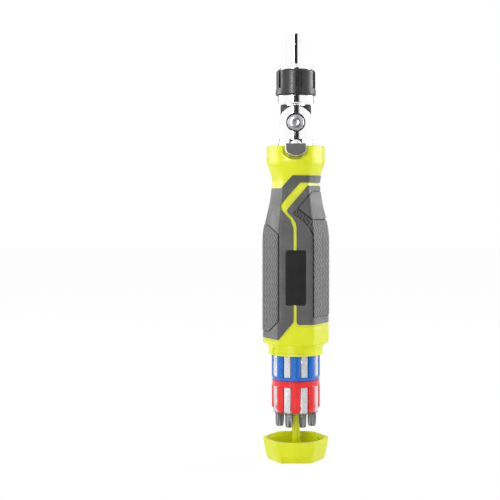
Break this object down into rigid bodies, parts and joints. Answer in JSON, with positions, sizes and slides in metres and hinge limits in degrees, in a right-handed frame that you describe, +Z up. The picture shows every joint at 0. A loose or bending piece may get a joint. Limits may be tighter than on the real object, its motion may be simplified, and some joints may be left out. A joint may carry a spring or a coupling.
{
  "type": "ratcheting screwdriver",
  "caption": "Flex-head ratcheting screwdriver with a grey and yellow-green grip, direction collar and a two-colour bit cartridge drawn out of the handle on its end cap",
  "frame": {"origin": "middle of the underside of the end cap, with the cartridge drawn out as pictured", "axes": "+Z up the tool's axis to the bit holder; -Y is the front with the lock button and the badge plate; X is across the corners of the grip"},
  "size_m": [0.0402, 0.036, 0.2544],
  "materials": {
    "yellow_plastic": "smooth satin moulding",
    "grip_rubber": "soft-touch overmould with ribbed pads",
    "badge_black": "satin black plate, bare",
    "chrome": "polished chrome",
    "steel": "ground steel",
    "red_plastic": "glossy moulding",
    "blue_plastic": "glossy moulding",
    "button_grey": "satin grey",
    "dark_steel": "oiled dark steel",
    "bronze": "sintered bronze",
    "collar_black": "knurled glass-filled nylon",
    "bit_steel": "bead-blasted steel with dark tips"
  },
  "bodies": {
    "handle": {"handle_core": "yellow_plastic", "grip_left": "grip_rubber", "grip_right": "grip_rubber", "badge_plate": "badge_black", "flex_yoke": "chrome", "yoke_cross_pin": "steel", "hinge_pin": "chrome", "thrust_washers": "steel", "lock_spring": "steel"},
    "cartridge": {"lower_bit_carrier": "red_plastic", "upper_bit_carrier": "blue_plastic"},
    "cap": {"end_cap": "yellow_plastic", "center_post": "yellow_plastic", "post_retainer": "steel"},
    "lock": {"lock_slide": "chrome", "lock_button": "button_grey"},
    "ratchet_head": {"ratchet_body": "dark_steel", "ratchet_housing": "chrome", "nose_ring": "chrome", "pawl_pins": "steel", "pawl_spring": "steel", "detent_ball": "steel", "detent_spring": "steel", "spindle_bushing": "bronze"},
    "collar": {"direction_collar": "collar_black", "selector_ring": "bronze"},
    "pawl_forward": {"forward_pawl": "steel"},
    "pawl_reverse": {"reverse_pawl": "steel"},
    "spindle": {"bit_holder": "chrome", "ratchet_gear": "steel", "spindle_snap_ring": "steel", "socket_magnet": "steel", "bit_retaining_ring": "steel"},
    "lower_bit_1_body": {"lower_bit_1": "bit_steel"},
    "lower_bit_2_body": {"lower_bit_2": "bit_steel"},
    "lower_bit_3_body": {"lower_bit_3": "bit_steel"},
    "lower_bit_4_body": {"lower_bit_4": "bit_steel"},
    "lower_bit_5_body": {"lower_bit_5": "bit_steel"},
    "lower_bit_6_body": {"lower_bit_6": "bit_steel"},
    "lower_bit_7_body": {"lower_bit_7": "bit_steel"},
    "lower_bit_8_body": {"lower_bit_8": "bit_steel"},
    "upper_bit_1_body": {"upper_bit_1": "bit_steel"},
    "upper_bit_2_body": {"upper_bit_2": "bit_steel"},
    "upper_bit_3_body": {"upper_bit_3": "bit_steel"},
    "upper_bit_4_body": {"upper_bit_4": "bit_steel"},
    "upper_bit_5_body": {"upper_bit_5": "bit_steel"},
    "upper_bit_6_body": {"upper_bit_6": "bit_steel"},
    "upper_bit_7_body": {"upper_bit_7": "bit_steel"},
    "upper_bit_8_body": {"upper_bit_8": "bit_steel"}
  },
  "joints": [
    {"name": "cartridge_slide", "type": "slide", "parent": "handle", "child": "cartridge", "axis": [0, 0, 1], "range_m": [-0.016, 0.0564]},
    {"name": "cap_twist", "type": "hinge", "parent": "cartridge", "child": "cap", "pos_m": [0, 0, 0.006], "axis": [0, 0, 1], "range_deg": [0, 60]},
    {"name": "head_flex", "type": "hinge", "parent": "handle", "child": "ratchet_head", "pos_m": [0, 0, 0.201], "axis": [0, 1, 0], "range_deg": [-90, 90]},
    {"name": "lock_press", "type": "slide", "parent": "handle", "child": "lock", "axis": [0, 0, -1], "range_m": [0, 0.0022], "stiffness_N_per_m": 600, "springref_m": -0.002, "deforming": ["lock_spring"]},
    {"name": "collar_turn", "type": "hinge", "parent": "ratchet_head", "child": "collar", "pos_m": [0, 0, 0.2251], "axis": [0, 0, 1], "range_deg": [-20, 20]},
    {"name": "forward_pawl_tilt", "type": "hinge", "parent": "ratchet_head", "child": "pawl_forward", "pos_m": [0.00467, -0.00467, 0.2228], "axis": [0, 0, 1], "range_deg": [-6, 6]},
    {"name": "reverse_pawl_tilt", "type": "hinge", "parent": "ratchet_head", "child": "pawl_reverse", "pos_m": [-0.00467, -0.00467, 0.2228], "axis": [0, 0, 1], "range_deg": [-6, 6]},
    {"name": "spindle_spin", "type": "hinge", "parent": "ratchet_head", "child": "spindle", "pos_m": [0, 0, 0.24445], "axis": [0, 0, 1], "continuous": true},
    {"name": "lower_bit_1_slide", "type": "slide", "parent": "cartridge", "child": "lower_bit_1_body", "axis": [0, 0, 1], "range_m": [-0.0165, 0]},
    {"name": "lower_bit_2_slide", "type": "slide", "parent": "cartridge", "child": "lower_bit_2_body", "axis": [0, 0, 1], "range_m": [-0.0165, 0]},
    {"name": "lower_bit_3_slide", "type": "slide", "parent": "cartridge", "child": "lower_bit_3_body", "axis": [0, 0, 1], "range_m": [-0.0165, 0]},
    {"name": "lower_bit_4_slide", "type": "slide", "parent": "cartridge", "child": "lower_bit_4_body", "axis": [0, 0, 1], "range_m": [-0.0165, 0]},
    {"name": "lower_bit_5_slide", "type": "slide", "parent": "cartridge", "child": "lower_bit_5_body", "axis": [0, 0, 1], "range_m": [-0.0165, 0]},
    {"name": "lower_bit_6_slide", "type": "slide", "parent": "cartridge", "child": "lower_bit_6_body", "axis": [0, 0, 1], "range_m": [-0.0165, 0]},
    {"name": "lower_bit_7_slide", "type": "slide", "parent": "cartridge", "child": "lower_bit_7_body", "axis": [0, 0, 1], "range_m": [-0.0165, 0]},
    {"name": "lower_bit_8_slide", "type": "slide", "parent": "cartridge", "child": "lower_bit_8_body", "axis": [0, 0, 1], "range_m": [-0.0165, 0]},
    {"name": "upper_bit_1_slide", "type": "slide", "parent": "cartridge", "child": "upper_bit_1_body", "axis": [0, 0, -1], "range_m": [-0.0165, 0]},
    {"name": "upper_bit_2_slide", "type": "slide", "parent": "cartridge", "child": "upper_bit_2_body", "axis": [0, 0, -1], "range_m": [-0.0165, 0]},
    {"name": "upper_bit_3_slide", "type": "slide", "parent": "cartridge", "child": "upper_bit_3_body", "axis": [0, 0, -1], "range_m": [-0.0165, 0]},
    {"name": "upper_bit_4_slide", "type": "slide", "parent": "cartridge", "child": "upper_bit_4_body", "axis": [0, 0, -1], "range_m": [-0.0165, 0]},
    {"name": "upper_bit_5_slide", "type": "slide", "parent": "cartridge", "child": "upper_bit_5_body", "axis": [0, 0, -1], "range_m": [-0.0165, 0]},
    {"name": "upper_bit_6_slide", "type": "slide", "parent": "cartridge", "child": "upper_bit_6_body", "axis": [0, 0, -1], "range_m": [-0.0165, 0]},
    {"name": "upper_bit_7_slide", "type": "slide", "parent": "cartridge", "child": "upper_bit_7_body", "axis": [0, 0, -1], "range_m": [-0.0165, 0]},
    {"name": "upper_bit_8_slide", "type": "slide", "parent": "cartridge", "child": "upper_bit_8_body", "axis": [0, 0, -1], "range_m": [-0.0165, 0]}
  ],
  "couplings": [
    {"joint": "forward_pawl_tilt", "follows": "collar_turn", "ratio": 0.3},
    {"joint": "reverse_pawl_tilt", "follows": "collar_turn", "ratio": 0.3}
  ]
}
